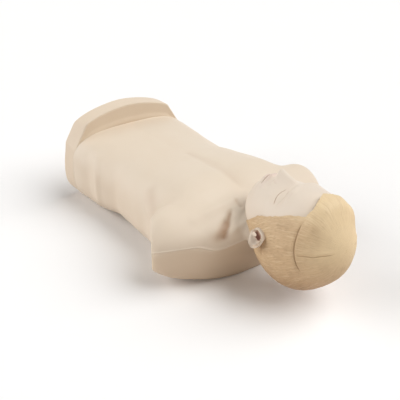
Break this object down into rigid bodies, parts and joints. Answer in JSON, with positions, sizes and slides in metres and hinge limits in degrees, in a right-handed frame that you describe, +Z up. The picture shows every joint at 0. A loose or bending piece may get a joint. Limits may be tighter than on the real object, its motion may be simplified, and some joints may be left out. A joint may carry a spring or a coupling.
{
  "type": "resuscitation training torso",
  "caption": "Life-size adult torso with a head, lying on its back: the chest presses down on a spring, the head tilts back and the jaw opens, to practise resuscitation.",
  "frame": {"origin": "middle of the bounding box, on the plane that the back lies on", "axes": "+X from the waist to the crown, +Y to the torso's own right side, +Z up out of the chest"},
  "size_m": [0.6584, 0.3884, 0.2078],
  "materials": {
    "shell_vinyl": "moulded vinyl, satin, tan",
    "skin_vinyl": "soft vinyl, satin, light tan",
    "face_vinyl": "soft vinyl, satin, light tan",
    "hair_vinyl": "moulded vinyl, matte, light brown",
    "inner_plastic": "moulded, off-white",
    "grey_plastic": "moulded, grey",
    "black_rubber": "matte",
    "airway_film": "thin soft film, milky",
    "bright_steel": "bright zinc plate"
  },
  "bodies": {
    "torso": {"back_shell": "shell_vinyl", "front_deck": "inner_plastic", "chest_skin": "skin_vinyl", "spring_cylinder": "grey_plastic", "cylinder_screw_1": "bright_steel", "cylinder_screw_2": "bright_steel", "cylinder_screw_3": "bright_steel", "cylinder_screw_4": "bright_steel", "bump_stop": "black_rubber", "compression_spring": "bright_steel", "clicker_leaf": "bright_steel", "clicker_screw": "bright_steel", "neck_bracket": "grey_plastic", "bracket_screw_1": "bright_steel", "bracket_screw_2": "bright_steel", "bracket_screw_3": "bright_steel", "bracket_screw_4": "bright_steel", "airway_tube": "airway_film", "pivot_pin": "bright_steel", "tilt_washer_left": "black_rubber", "tilt_washer_right": "black_rubber"},
    "chest": {"rib_plate": "inner_plastic", "plunger": "inner_plastic", "plunger_screw_1": "bright_steel", "plunger_screw_2": "bright_steel", "plunger_screw_3": "bright_steel", "plunger_screw_4": "bright_steel", "lung_bag": "airway_film"},
    "head": {"head_frame": "inner_plastic", "hair_cap": "hair_vinyl", "face_mask": "face_vinyl", "ear_left": "face_vinyl", "ear_right": "face_vinyl", "mouth_connector": "inner_plastic", "pivot_bush_left": "inner_plastic", "pivot_bush_right": "inner_plastic", "pin_clip_left": "bright_steel", "pin_clip_right": "bright_steel", "jaw_pin_left": "bright_steel", "jaw_pin_right": "bright_steel"},
    "jaw": {"jaw": "inner_plastic"}
  },
  "joints": [
    {"name": "chest_press", "type": "slide", "parent": "torso", "child": "chest", "axis": [0, 0, -1], "range_m": [0, 0.05], "stiffness_N_per_m": 8000, "springref_m": -0.006, "deforming": ["compression_spring", "chest_skin", "airway_tube"]},
    {"name": "head_tilt", "type": "hinge", "parent": "torso", "child": "head", "pos_m": [0.19478, 0, 0.096], "axis": [0, 1, 0], "range_deg": [-10, 22], "deforming": ["airway_tube"]},
    {"name": "jaw_open", "type": "hinge", "parent": "head", "child": "jaw", "pos_m": [0.21809, 0, 0.14573], "axis": [0, -1, 0], "range_deg": [0, 10], "stiffness_Nm_per_rad": 1, "springref_deg": -5.73, "deforming": ["face_mask"]}
  ]
}
